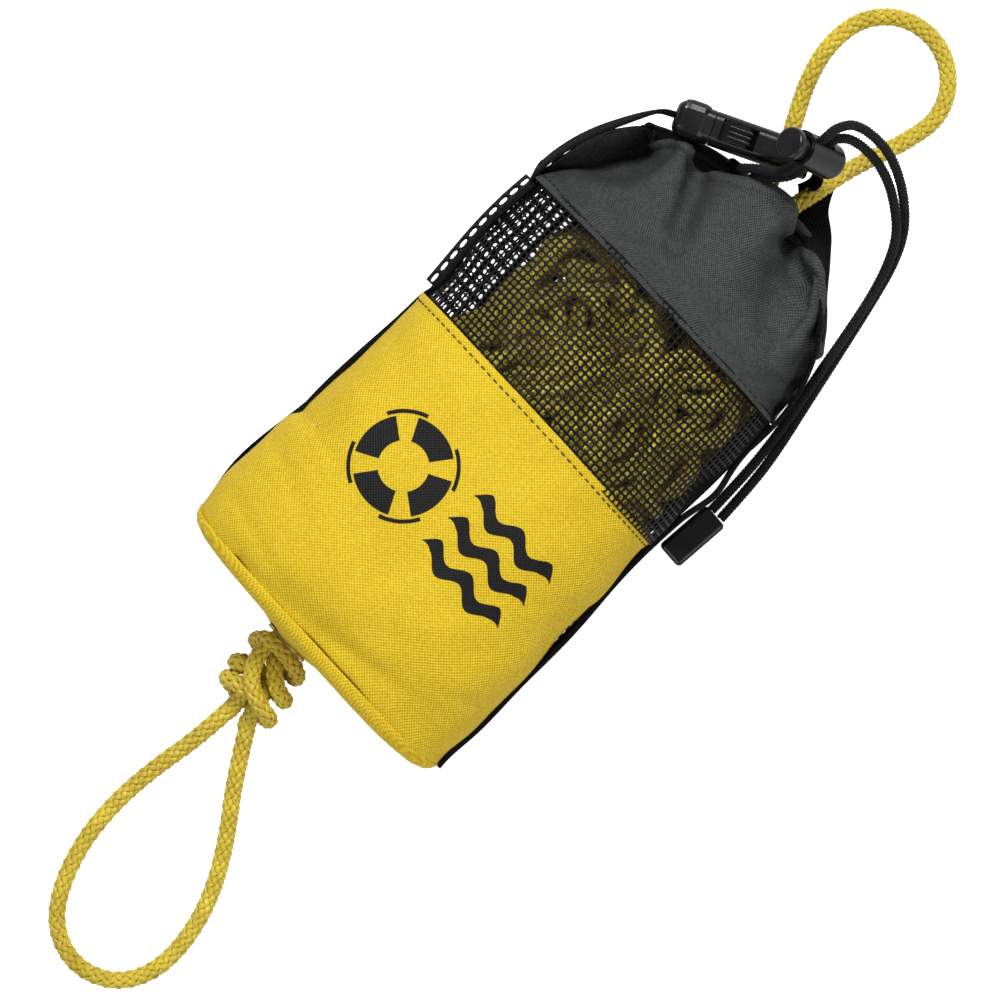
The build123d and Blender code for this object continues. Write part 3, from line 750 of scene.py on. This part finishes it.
def band(name, line, side, up, width, thickness, material, body="bag"):
    """A flat tape along a line: side and up give its two directions at each point."""
    line, side, up = np.asarray(line, float), np.asarray(side, float), np.asarray(up, float)
    across = np.linspace(-1, 1, 9)
    edge = np.concatenate([across, across[::-1]])
    level = np.concatenate([np.full(9, 0.5), np.full(9, -0.5)]) * np.sqrt(1 - 0.75 * edge**4)
    half = np.broadcast_to(np.asarray(width, float) / 2, len(line))
    ring = line[:, None] + side[:, None] * (half[:, None] * edge)[..., None]
    ring = ring + up[:, None] * (level * thickness)[None, :, None]
    cloth = paired((edge * half.max())[None, :], run_along(line)[:, None])
    faces = closed_tube(*ring.shape[:2])
    obj = piece(name, ring.reshape(-1, 3), faces, material, cloth.reshape(-1, 2), body)
    return obj


def make_bindings():
    """Black tape folded over the two side seams, which the slack cloth hides on the lower left."""
    for side, name in ((-1, "left"), (1, "right")):
        y = np.linspace(-110.0, 47.5, 150)
        line = on_bag(side, y)
        hidden = step_at(y, -62, -5) if side < 0 else np.zeros(len(y))
        line[:, 0] += side * (0.7 + 0.35 * np.sin(y / 9.0 + side) - 3.4 * hidden)
        if side > 0:
            line[:, 0] += 2.4 * bell(y, 19, 9)
        else:
            beside_mesh = step_at(y, -4, 1.5)
            line[:, 0] += 2.0 * beside_mesh
            line[:, 2] += 4.0 * beside_mesh
        line[:, 2] += 0.5 * np.sin(y / 13.0)
        out = np.tile([side * 1.0, 0, 0], (len(y), 1))
        up = np.tile([0, 0, 1.0], (len(y), 1))
        obj = band(f"binding_{name}_tape", line, up, out, 8.0, 2.2, TAPE)
        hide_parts(f"binding_{name}")


def make_edge_strip():
    """The coarse back mesh shows outside the left seam, and wide tape edges the window's right."""
    y = np.linspace(-2.0, 48.0, 11)
    skin = on_bag(-1, y)
    points = skin[:, None] + np.array([(-2.9, 0, 1.0), (0.4, 0, 4.0)])[None]
    obj = net("back_edge_strip", points, (0.25, 0.36), 0.7)
    y = np.linspace(-4.0, 48.0, 60)
    line = on_bag(1, y) + (-3.2, 0, 7.6)
    out = np.tile([0.5, 0, 0.866], (len(y), 1))
    along = np.tile([0.866, 0, -0.5], (len(y), 1))
    band("window_edge_tape", line, along, out, 6.4, 1.2, TAPE)


STRAP_LEFT = [
    (-55, 46, 20), (-55.9, 50, 23), (-56.4, 57, 26), (-53.4, 71, 26), (-48, 83.6, 26), (-42.8, 93.2, 26),
    (-38.6, 97.3, 26), (-32.1, 100.3, 26),
]
STRAP_RIGHT = [
    (0.6, 115.5, 26), (5.6, 117.9, 25.6), (10.4, 118.2, 20), (14.8, 113.8, 15.6), (19.4, 107.4, 15.6),
    (25, 103.2, 18.4),
    (30.4, 98.6, 21.8), (38.2, 92.2, 24.6), (45.4, 85.4, 25.6), (50.8, 78.2, 26), (55.2, 69.2, 26),
    (58.8, 58, 25.6), (60, 47, 24), (59.8, 38, 22),
]
STRAP_TILT = [0, 10, 48, 78, 74, 44, 26, 12, 8, 4, 0, 0, 0, 0]
STRAP_WIDTH = [20, 20, 17, 12, 11.5, 14.5, 18, 20, 20, 20, 20, 20, 20, 20]


def webbing(name, route, tilt, width, body="bag"):
    """Webbing on edge along a route, leaning over by the given degrees."""
    line = through(np.array(route, float), 90)
    lean = np.radians(through(np.array(tilt, float), 90))[:, None]
    way = unit(np.gradient(line, axis=0))
    flat = unit(np.cross(way, (0, 0, 1.0)))
    stand = np.cross(flat, way)
    side = stand * np.cos(lean) + flat * np.sin(lean)
    width = through(np.array(width, float), 90)
    return band(name, line, side, np.cross(side, way), width, 1.6, WEBBING, body)


def make_straps():
    """The bail strap's two halves, from the side seams to the buckle."""
    left = webbing("strap_left_webbing", STRAP_LEFT, [0, 3, 7, 9, 8, 4, 0, 0], [20] * 8, None)
    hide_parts("strap_left")
    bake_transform(left)
    right = webbing("strap_right_webbing", STRAP_RIGHT, STRAP_TILT, STRAP_WIDTH)
    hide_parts("strap_right")


# ---- cords
def centre_line(points_mm, name):
    """The smooth line of a free cord through its route's control points, read back in mm."""
    curve = bpy.data.curves.new(name + "_route", "CURVE")
    curve.dimensions = "3D"
    curve.resolution_u = 24
    spline = curve.splines.new("NURBS")
    spline.points.add(len(points_mm) - 1)
    for point, place in zip(spline.points, points_mm):
        point.co = (*(c * MM for c in place), 1)
    spline.order_u = 3
    spline.use_endpoint_u = True
    probe = bpy.data.objects.new(name + "_route", curve)
    mesh = bpy.data.meshes.new_from_object(probe)
    line = np.array([v.co[:] for v in mesh.vertices]) / MM
    bpy.data.objects.remove(probe)
    bpy.data.meshes.remove(mesh)
    return line


def even(line, step):
    """The line at even steps, with its length."""
    run = run_along(line)
    s = np.linspace(0, run[-1], max(int(run[-1] / step), 4) + 1)
    return np.stack([np.interp(s, run, line[:, k]) for k in range(3)], axis=1), run[-1]


def frames(line):
    """Two directions across the line at each point, carried along it without twist."""
    way = unit(np.gradient(line, axis=0))
    side = np.cross(way[0], (0.1, 0.2, 1.0))
    sides = []
    for w in way:
        side = side - w * (side @ w)
        side /= np.linalg.norm(side)
        sides.append(side)
    sides = np.array(sides)
    return sides, np.cross(way, sides)


def tube_mesh(line, radius, round_by, start=0):
    """Rings along a line, their faces and cloth coordinates."""
    side, other = frames(line)
    angle = circle(round_by)
    ring = line[:, None] + radius * spokes(angle, side, other)
    cloth = paired((angle * radius)[None, :], run_along(line)[:, None])
    return ring.reshape(-1, 3), closed_tube(len(line), round_by, start), cloth.reshape(-1, 2)


def braid(name, line, diameter, lay, material, core, per_way=8):
    """A hollow braid over a core: strands that wind both ways and pass over and under in turn."""
    line, length = even(line, BRAID_STEP)
    side, other = frames(line)
    radius = diameter / 2
    thick, dip = radius * 0.185, radius * 0.15
    middle = radius - thick - dip
    wide = math.pi * middle / per_way * 0.84
    s = np.linspace(0, length, len(line))
    round_by = 8
    angle = circle(round_by)
    points, faces, cloth = [], [], []
    for direction in (1, -1):
        level = middle + direction * dip * np.cos(math.pi * s * 2 * per_way / lay)
        for k in range(per_way):
            turn = 2 * math.pi * k / per_way + direction * 2 * math.pi * s / lay
            out = np.cos(turn)[:, None] * side + np.sin(turn)[:, None] * other
            centre = line + out * level[:, None]
            across = unit(np.cross(unit(np.gradient(centre, axis=0)), out))
            ring = centre[:, None] + across[:, None] * (np.cos(angle) * wide)[None, :, None]
            ring = ring + out[:, None] * (np.sin(angle) * thick)[None, :, None]
            start = sum(len(p) for p in points)
            points.append(ring.reshape(-1, 3))
            faces += closed_tube(len(line), round_by, start)
            cloth.append(paired((np.cos(angle) * wide)[None, :] + 3.0 * k, s[:, None]).reshape(-1, 2))
    start = sum(len(p) for p in points)
    inner, inner_faces, inner_cloth = tube_mesh(line[:: 2], middle, 12, start)
    points.append(inner)
    cloth.append(inner_cloth)
    count = len(faces)
    faces += inner_faces
    obj = piece(name, np.concatenate(points), faces, material, np.concatenate(cloth))
    obj.data.materials.append(core)
    for polygon in obj.data.polygons[count:]:
        polygon.material_index = 1
    return obj, length


def rope_braid(name, line):
    # The rope's core takes the painted shade material, seen between the strands.
    return braid(name, line, ROPE_D, ROPE_LAY, ROPE, ROPE_CORE_PAINTED_SHADE, 6)


BOTTOM_LOOP = [
    (-3.4, -146.4, 17.5), (-4.4, -163, 13.5), (-7.6, -180, 8.4), (-9.2, -197, 4.6), (-8, -215, 3.2),
    (-2.2, -232.6, 3.2), (6.5, -243.8, 3.2), (19.8, -248, 3.2), (33, -243.2, 3.2),
    (40.4, -231.6, 3.2), (41, -216, 3.2), (36.4, -198.5, 3.4), (26.5, -181, 6),
    (14, -164.5, 11.5), (3.5, -146.4, 17.5),
]
TOP_LOOP = [
    (3, 81, 17.5), (3.4, 92, 14.5), (2.4, 104.5, 10.2), (-1.8, 117, 6.6), (-8.6, 129.5, 4.2),
    (-14.2, 141.5, 3.2), (-16.9, 154, 3.2), (-14.8, 167.6, 3.2), (-5.3, 177.5, 3.2),
    (8.4, 179.9, 3.2), (20.9, 173.8, 3.2), (27.5, 161.5, 3.2), (25, 148, 4.8), (20.8, 136, 10),
    (17.2, 124, 19.8), (15.2, 112.8, 23), (12.4, 102, 22.4), (10.4, 91.5, 20.8), (9.6, 81, 18),
]
STRANDS = {
    "a": [(-8.4, 100.4, 33.2), (-4.6, 103.8, 40.8), (1, 106.8, 46), (3.98, 110.93, 49.14),
          (4.2, 115, 50.8), (4.9, 128, 56), (5.03, 130.42, 56.92),
          (8, 136, 55.2), (15.2, 138.4, 47.4), (23.6, 138.6, 37.2), (31.6, 136, 27.6),
          (39, 131.6, 18.6), (46, 125.2, 11), (51, 115, 5.6), (54.2, 103, 2.8),
          (57.4, 88.6, 2), (60.5, 74, 2), (63.5, 59.5, 2), (66.7, 45, 2), (69, 30, 2.3),
          (69.6, 12.9, 3.6)],
    "b": [(-3.4, 100.6, 34.8), (-0.2, 104.4, 39.2), (4.2, 107.8, 43.4), (6.32, 111.98, 46.2),
          (6.49, 115.2, 47.5), (7.08, 126.1, 51.85), (7.19, 128.2, 52.67),
          (10.4, 131.8, 51.4), (16.4, 133.6, 44), (23.6, 133.8, 35.4), (31.2, 131.8, 27),
          (38.2, 127.8, 20.2), (44.9, 122.3, 15.6), (49.8, 113.2, 11), (53.3, 102.1, 7.4),
          (56.2, 87.4, 5.8), (58.6, 72.8, 5.6), (61.4, 58.4, 5.5), (63.8, 43.6, 4.4), (65.2, 28.6, 3.4),
          (65.4, 12.9, 3.6)],
}


def make_loops(knot):
    """The rope's two end loops."""
    for name, route in (("bottom", BOTTOM_LOOP), ("top", TOP_LOOP)):
        line = centre_line(route, name)
        obj, length = rope_braid(f"rope_{name}_loop_braid", line)
        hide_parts(f"rope_{name}_loop")


def make_drawcord():
    """Two braided strands from the hem, through the lock, to the cord end."""
    for name, route in STRANDS.items():
        line = centre_line(route, name)
        obj, length = braid(f"drawcord_{name}_braid", line, DRAWCORD_D, CORD_LAY, CORD, CORD)
        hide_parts(f"drawcord_strand_{name}")


KNOT_STRANDS = [
    # The band under the eyelet, the turn over the front, the lobes to each side and the back turn.
    [(-5, -121.5, 12), (-11.8, -124, 14), (-13.2, -125.6, 20), (-10.6, -122.6, 26.4),
     (-4.5, -121.8, 28.6),
     (2.4, -123.2, 25.4), (5, -125.4, 19), (2, -126, 13), (-4, -126.6, 10)],
    [(-7.4, -117, 22.6), (-8.6, -120.4, 23.4), (-9.6, -125.4, 25.4), (-8.2, -131.3, 27.6),
     (-3.9, -136.9, 28.2),
     (3.2, -140.2, 26.2), (8.2, -141.6, 20.8), (6.2, -142.6, 14), (-1, -142.4, 11.4), (-7, -142.6, 12.6)],
    [(-5, -124.6, 22), (-3.6, -126.6, 24.6), (-0.6, -129.6, 26.6), (4.4, -132.6, 25.4),
     (7.6, -133.6, 19.4),
     (4.4, -133.6, 13.4), (-1.6, -133, 11), (-8, -132.8, 12.6), (-12.6, -135.2, 17.4),
     (-12, -135.4, 22.6), (-7, -133.4, 22.2)],
    [(-7, -142.6, 12.6), (-11, -141.8, 17.4), (-10.4, -141, 23.2), (-5.6, -139.8, 24.6), (0.4, -139, 20)],
    [(-4.6, -134, 20), (-4.2, -140, 21), (-3.4, -146.4, 17.5), (-3.6, -150, 16.6)],
    [(-0.6, -134, 20), (2, -140, 21.6), (3.5, -146.4, 17.5), (4.5, -149.6, 16.4)],
]


def make_knot():
    """The bottom knot: turns of the same rope pulled tight against the eyelet."""
    turns = []
    for i, route in enumerate(KNOT_STRANDS):
        line = through(np.array(route, float), 60)
        obj, _ = rope_braid(f"rope_knot_turn_{i + 1}", line)
        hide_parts("rope_bottom_knot")
        turns.append(obj)
    return turns


# ---- rope in the bag
STUFFED_LENGTH = 15200.0
SEGMENT = 5.5
STUFFED_START = (-5.5, -94.0, 23.0)


def stuffed_limits(y):
    """The room the rope has at each y: the middle and half size across and up."""
    left, right, top, seam, sag, turn = through(STATIONS[:, 1:], np.clip(y, -116, 60), STATIONS[:, 0]).T
    left = left + 15.0 / (1 + np.exp(-(y + 2.0) / 3.0))
    margin = ROPE_D / 2 + 2.3
    low = FLOOR + margin
    high = top - margin - 1.6 / (1 + np.exp(-(y + 4.0) / 3.0))
    return (left + right) / 2, (right - left) / 2 - margin, (low + high) / 2, (high - low) / 2


def keep_inside(p):
    """Moves points that are outside the bag's room back to its skin."""
    p[:, 1] = np.clip(p[:, 1], -92.5, 57.0 - 9.0 / (1 + np.exp(p[:, 0] / 6)))
    middle_x, half_x, middle_z, half_z = stuffed_limits(p[:, 1])
    u = (p[:, 0] - middle_x) / half_x
    v = (p[:, 2] - middle_z) / half_z
    reach = (np.abs(u) ** 2.5 + np.abs(v) ** 2.5) ** (1 / 2.5)
    grow = np.where(reach > 1, 1 / np.maximum(reach, 1e-6), 1.0)
    p[:, 0] = middle_x + u * grow * half_x
    p[:, 2] = middle_z + v * grow * half_z


def loops_in_bag():
    """The rope as it is fed in by hand: loose loops of uneven size laid on each other."""
    count = int(STUFFED_LENGTH / SEGMENT)
    s = np.arange(count) * SEGMENT
    turns = int(STUFFED_LENGTH / 150)
    knots = np.linspace(0, count - 1, turns + 1)
    layer = np.linspace(0, 1, turns + 1)
    centre = np.stack([
        rng.uniform(-32, 42, turns + 1),
        rng.uniform(-80, 44, turns + 1),
        8 + 50 * layer + rng.uniform(-6, 6, turns + 1),
    ], axis=1)
    wide = rng.uniform(14, 30, turns + 1)
    tall = rng.uniform(18, 36, turns + 1)
    tilt = rng.uniform(-0.5, 0.5, turns + 1)
    beside = np.arange(turns + 1) % 8 == 3
    centre[beside, 0] = 46
    centre[beside, 1] = rng.uniform(-8, 38, beside.sum())
    wide[beside] = 8
    spin = np.cumsum(np.where(rng.random(turns + 1) < 0.72, 1, -1) * rng.uniform(4.5, 7.5, turns + 1))
    i = np.arange(count)
    centre = through(centre, i, knots)
    wide, tall, tilt, spin = (np.interp(i, knots, v) for v in (wide, tall, tilt, spin))
    p = centre.copy()
    p[:, 0] += wide * np.cos(spin)
    p[:, 1] += tall * np.sin(spin)
    p[:, 2] += 10 * tilt * np.cos(spin * 0.7)
    p[0] = STUFFED_START
    keep_inside(p)
    return p


def settle(p, rounds):
    """Pushes touching turns apart and keeps the rope's length, its least bend and the bag's room."""
    count = len(p)
    gap = ROPE_D
    hold = np.array(STUFFED_START)
    index = np.arange(count)
    for step in range(rounds):
        ease = min(1.0, 0.35 + step / rounds)
        for _ in range(4):
            for parity in (0, 1):
                a, b = p[parity:-1:2], p[parity + 1::2]
                d = b - a
                far = np.linalg.norm(d, axis=1, keepdims=True)
                move = d * (0.5 * (far - SEGMENT) / np.maximum(far, 1e-6))
                a += move
                b -= move
        for reach, least in ((3, 2.62), (5, 3.7)):
            a, b = p[:-reach], p[reach:]
            d = b - a
            far = np.linalg.norm(d, axis=1, keepdims=True)
            short = np.clip(least * SEGMENT - far, 0, None)
            move = d / np.maximum(far, 1e-6) * short * 0.2
            shift = np.zeros_like(p)
            shift[:-reach] -= move
            shift[reach:] += move
            p += shift
        q = p.astype(np.float32)
        size = (q * q).sum(axis=1)
        near = size[:, None] + size[None, :] - 2 * (q @ q.T)
        i, j = np.nonzero(near < (gap * gap))
        keep = j > i + 3
        i, j = i[keep], j[keep]
        d = p[j] - p[i]
        far = np.linalg.norm(d, axis=1, keepdims=True)
        d += (far < 1e-3) * np.array([0, 0, 0.01])
        move = d / np.maximum(far, 1e-3) * np.clip(gap - far, 0, None) * 0.5 * ease
        shift = np.zeros_like(p)
        touch = np.zeros(count)
        np.add.at(shift, i, -move)
        np.add.at(shift, j, move)
        np.add.at(touch, i, 1)
        np.add.at(touch, j, 1)
        p += shift / np.maximum(touch, 1)[:, None] * 1.3
        keep_inside(p)
        p[0] = hold
    return p


def make_stuffed_rope():
    """Fifteen metres of the floating rope, stuffed loosely into the bag."""
    p = settle(loops_in_bag(), 170)
    line = centre_line(p, "stuffed")
    line, length = even(line, 2.6)
    points, faces, cloth = tube_mesh(line, ROPE_D / 2, 11)
    obj = piece("rope_stuffed_run", points, faces, ROPE_PLAIN_PAINTED_LIGHT_AND_SHADE, cloth)
    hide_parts("rope_stuffed")


def copy_of(node, name, material):
    """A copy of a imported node's mesh in another material."""
    obj = bpy.data.objects.new(name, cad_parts[node].data.copy())
    bpy.context.scene.collection.objects.link(obj)
    obj.data.materials.clear()
    obj.data.materials.append(material)
    return obj


def box_middle(node):
    low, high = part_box(node)
    return (Vector(low) + Vector(high)) / 2


def make_float():
    """The foam float and its divider, a little slack in their pocket."""
    for name, material, keep in (("foam_float", FOAM, 0.90), ("float_divider", GREY, 0.92)):
        obj = copy_of(name, name + "_fill", material)
        middle = box_middle(name)
        for v in obj.data.vertices:
            v.co = middle + (v.co - middle) * keep
        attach(obj, "bag")
        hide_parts(name)


# ---- print
PRINT_MIDDLE = (3.0, -51.0)
PRINT_TURN = math.radians(-5)
PRINT_LIFT = 0.12
ABOVE_ALL = 0.2          # in m


def arc_strip(centre, radius, width, start, end, count=40):
    """Both edges of a ring's part."""
    t = np.radians(np.linspace(start, end, count))
    way = np.stack([np.cos(t), np.sin(t)], axis=1)
    return centre + way * (radius - width / 2), centre + way * (radius + width / 2)


def wave_strip(left, right, level, height, width, waves, count=90):
    """Both edges of a wavy stripe that thins towards its ends."""
    t = np.linspace(0, 1, count)
    x = left + (right - left) * t
    y = level + height * np.sin(2 * math.pi * waves * t)
    half = width / 2 * np.clip(np.sin(math.pi * t) * 3.0, 0.12, 1)
    return np.stack([x, y - half], axis=1), np.stack([x, y + half], axis=1)


def make_print():
    """A plain screen print: a life ring beside three waves."""
    ring = np.array([-21.5, 0.0])
    strips = [arc_strip(ring, 12.6, 8.2, a + 13, a + 77) for a in (45, 135, 225, 315)]
    strips += [arc_strip(ring, 18.2, 1.3, a - 22, a + 22) for a in (45, 135, 225, 315)]
    strips += [wave_strip(1, 39, level, 2.1, 5.2, 2.5) for level in (11.5, 0.3, -10.9)]
    cloth_mesh = bpy.data.objects["front_panel_cloth"].data
    corners = [v.co for v in cloth_mesh.vertices]
    tree = BVHTree.FromPolygons(corners, [p.vertices[:] for p in cloth_mesh.polygons])
    points, faces, cloth = [], [], []
    cos, sin = math.cos(PRINT_TURN), math.sin(PRINT_TURN)
    for low, high in strips:
        share = np.linspace(0, 1, 7)[None, :, None]
        flat = low[:, None] * (1 - share) + high[:, None] * share
        x = PRINT_MIDDLE[0] + flat[..., 0] * cos - flat[..., 1] * sin
        y = PRINT_MIDDLE[1] + flat[..., 0] * sin + flat[..., 1] * cos
        faces += grid_faces(*flat.shape[:2], start=len(points))
        for px, py in zip(x.ravel(), y.ravel()):
            hit, normal, _, _ = tree.ray_cast(Vector((px * MM, py * MM, ABOVE_ALL)), Vector((0, 0, -1)))
            points.append(np.array(hit + normal * PRINT_LIFT * MM) / MM)
            cloth.append((px, py))
    obj = piece("print_ring_and_waves", points, faces, PRINT, cloth)


# ---- carried-over pieces
CAD_MATERIALS = {
    "bottom_eyelet": BRASS, "eyelet_washer": BRASS,
    "rope_through_float": ROPE_PLAIN_PAINTED_LIGHT_AND_SHADE, "rope_top_knot": ROPE_PLAIN_PAINTED_LIGHT_AND_SHADE, "drawcord_in_hem": CORD,
    "cord_end_body": BLACK, "cord_end_clamp": BLACK, "cord_lock_barrel": BLACK, "cord_lock_plunger": BLACK,
    "buckle_socket": BLACK, "buckle_plug": BLACK, "snap_arm_upper": BLACK, "snap_arm_lower": BLACK,
}


BUCKLE_REAR = Vector((-36.6, 98.2, 26.0))
BUCKLE_TURN = math.radians(25)


def buckle_block(name, body, low, high, soft):
    """A small moulded block in the buckle's own directions: along it, through it and up."""
    size = Vector(high) - Vector(low)
    middle = (Vector(high) + Vector(low)) / 2
    bpy.ops.mesh.primitive_cube_add(size=1)
    obj = bpy.context.object
    obj.name = name
    obj.data.transform(Matrix.Diagonal((*(size * MM), 1)))
    edge = obj.modifiers.new("edge", "BEVEL")
    edge.width = soft * MM
    edge.segments = 3
    turn = Matrix.Rotation(BUCKLE_TURN, 4, "Z")
    place = BUCKLE_REAR + turn.to_3x3() @ middle
    obj.data.transform(Matrix.Translation(place * MM) @ turn)
    obj.data.materials.append(BLACK)
    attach(obj, body)


def make_buckle_details():
    """The plug's shoulder, and the grip ribs on the arms in the socket's windows."""
    buckle_block("plug_shoulder", "buckle_plug", (13.03, -5.25, -12.2), (13.27, 5.25, 12.2), 0.1)
    buckle_block("plug_grip", "buckle_plug", (0.8, -6.5, -12.75), (12.4, 6.5, 12.75), 3.4)
    for name, sign in (("upper", 1), ("lower", -1)):
        for i in range(3):
            y = 1.75 * (i - 1)
            inner, outer = sorted((sign * 12.0, sign * 12.9))
            low, high = (18.4, y - 0.5, inner), (26.6, y + 0.5, outer)
            buckle_block(f"grip_{name}_{i + 1}", f"snap_arm_{name}", low, high, 0.3)


def make_lock_spring():
    """The cord lock's spring in steel, riding on the cord lock at its imported length, though the real one
    shortens as the plunger is pressed.
    """
    obj = copy_of("cord_lock_spring", "cord_lock_spring_coil", STEEL)
    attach(obj, "cord_lock")
    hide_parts("cord_lock_spring")
    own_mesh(obj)


def dress_nodes():
    """Gives each carried-over node its finish."""
    for name, material in CAD_MATERIALS.items():
        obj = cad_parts[name]
        for slot in obj.material_slots:
            slot.material = material


def make_seam_stitches(front_points, collar_points, collar_normals):
    """Black thread along the yellow cloth's fold and the collar's lower edge."""
    row = front_points[-7]
    ups = normals(front_points)[-7]
    stitches("stitches_front", row[3:-3] + ups[3:-3] * 0.1, ups[3:-3])
    row, ups = collar_points[6], collar_normals[6]
    stitches("stitches_collar", row[3:-3] + ups[3:-3] * 0.1, ups[3:-3], radius=0.2)


front = make_front_panel()
make_bottom_panel()
make_window()
make_back()
collar, collar_n = make_collar(
    COLLAR_ROWS, "collar_front_cloth", "collar_front", "hem_front", False,
    [(0.45, 23, 15, 0.3), (0.3, 14, 70, 1.0), (0.25, 9, 120, 0.2)], COLLAR_CREASES,
)
make_collar(BACK_ROWS, "collar_back_cloth", "collar_back", "hem_back", True, [(0.4, 19, 10, 0.5)])
make_seam_stitches(front, collar, collar_n)
make_bindings()
make_edge_strip()
make_straps()
make_loops(make_knot())
make_drawcord()
make_stuffed_rope()
make_float()
make_print()
make_buckle_details()
make_lock_spring()
dress_nodes()
